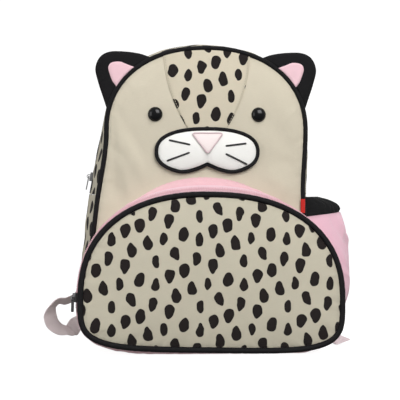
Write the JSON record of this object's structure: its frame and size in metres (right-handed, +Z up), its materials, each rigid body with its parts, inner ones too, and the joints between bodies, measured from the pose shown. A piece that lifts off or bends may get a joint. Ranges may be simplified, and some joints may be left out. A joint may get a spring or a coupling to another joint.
{
  "type": "kids animal backpack",
  "caption": "Small soft backpack with a cat face, ears, a bellows front pocket, a side pouch, padded shoulder straps and a grab loop.",
  "frame": {"origin": "middle of the base of the main compartment, on the floor", "axes": "+Z up, the face looks along -Y, +X to the right as seen from the front"},
  "size_m": [0.3194, 0.189, 0.3161],
  "materials": {
    "face_fabric": "plain woven beige polyester, matt",
    "spot_fabric": "beige woven polyester printed with dark spots, matt",
    "pink_fabric": "pale pink woven polyester, matt",
    "white_fabric": "white padded woven cloth, matt",
    "black_fabric": "black woven polyester, matt",
    "black_piping": "black woven tape round a cord",
    "black_thread": "satin stitch in black thread",
    "nose_fabric": "pale pink appliqué with a satin-stitched edge",
    "elastic": "black gathered elastic",
    "zip_tape": "black coil zip on woven tape",
    "pink_zip_tape": "pale pink coil zip on woven tape",
    "back_fabric": "black padded woven cloth",
    "strap_fabric": "black padded woven cloth",
    "webbing": "dusty pink woven webbing",
    "red_ribbon": "plain red woven ribbon",
    "buckle_plastic": "moulded black plastic",
    "eye_plastic": "polished black plastic",
    "zip_metal": "cast zip hardware, lightly polished"
  },
  "bodies": {
    "bag": {"face_panel": "face_fabric", "face_piping": "black_piping", "back_panel": "back_fabric", "back_piping": "black_piping", "gusset_front": "spot_fabric", "main_zip": "zip_tape", "gusset_back": "spot_fabric", "gusset_base": "spot_fabric", "pocket_panel": "spot_fabric", "pocket_piping": "black_piping", "pocket_gusset": "pink_fabric", "pocket_zip": "pink_zip_tape", "pocket_gusset_base": "pink_fabric", "muzzle": "white_fabric", "muzzle_border": "black_piping", "nose": "nose_fabric", "whisker_upper_left": "black_thread", "whisker_lower_left": "black_thread", "whisker_upper_right": "black_thread", "whisker_lower_right": "black_thread", "eye_left": "eye_plastic", "eye_right": "eye_plastic", "forehead_panel": "spot_fabric", "ear_left": "black_fabric", "ear_inner_left": "pink_fabric", "ear_right": "black_fabric", "ear_inner_right": "pink_fabric", "side_pocket": "pink_fabric", "side_pocket_band": "elastic", "label_tab": "red_ribbon", "strap_left": "strap_fabric", "buckle_left": "buckle_plastic", "anchor_left": "webbing", "webbing_left": "webbing", "strap_right": "strap_fabric", "buckle_right": "buckle_plastic", "anchor_right": "webbing", "webbing_right": "webbing", "handle": "webbing", "main_slider": "zip_metal", "pocket_slider": "zip_metal"},
    "main_zip_pull": {"main_pull": "zip_metal"},
    "pocket_zip_pull": {"pocket_pull": "zip_metal"}
  },
  "joints": [
    {"name": "main_pull_hinge", "type": "hinge", "parent": "bag", "child": "main_zip_pull", "pos_m": [-0.11212, -0.0052, 0.17432], "axis": [-0.045, 0.9989, 0.0089], "range_deg": [0, 150]},
    {"name": "pocket_pull_hinge", "type": "hinge", "parent": "bag", "child": "pocket_zip_pull", "pos_m": [-0.12599, -0.07657, 0.05574], "axis": [-0.3819, 0.9212, -0.0741], "range_deg": [0, 150]}
  ]
}
